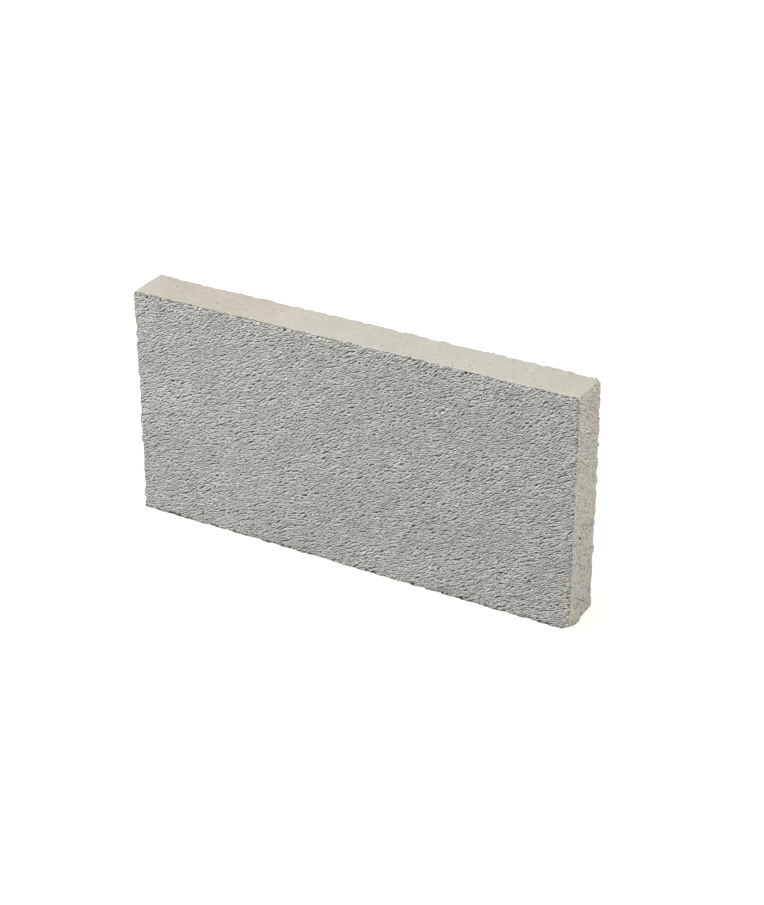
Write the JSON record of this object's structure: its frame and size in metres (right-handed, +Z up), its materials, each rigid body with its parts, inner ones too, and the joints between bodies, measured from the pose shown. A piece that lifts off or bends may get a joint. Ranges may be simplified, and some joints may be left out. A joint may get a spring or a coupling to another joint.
{
  "type": "aerated concrete block",
  "caption": "Long, thin, rectangular aerated concrete block with ridged wire-cut faces, smooth beds, crumbled edges and broken corners.",
  "frame": {"origin": "centre of the bed that the block stands on", "axes": "+X along the block's 500 mm length, +Y through its 50 mm thickness from the front to the back large face, +Z up its 250 mm height"},
  "size_m": [0.5, 0.05, 0.25],
  "materials": {
    "aerated_concrete": "matt, porous, wire cut"
  },
  "bodies": {
    "root": {"block": "aerated_concrete"}
  },
  "joints": []
}
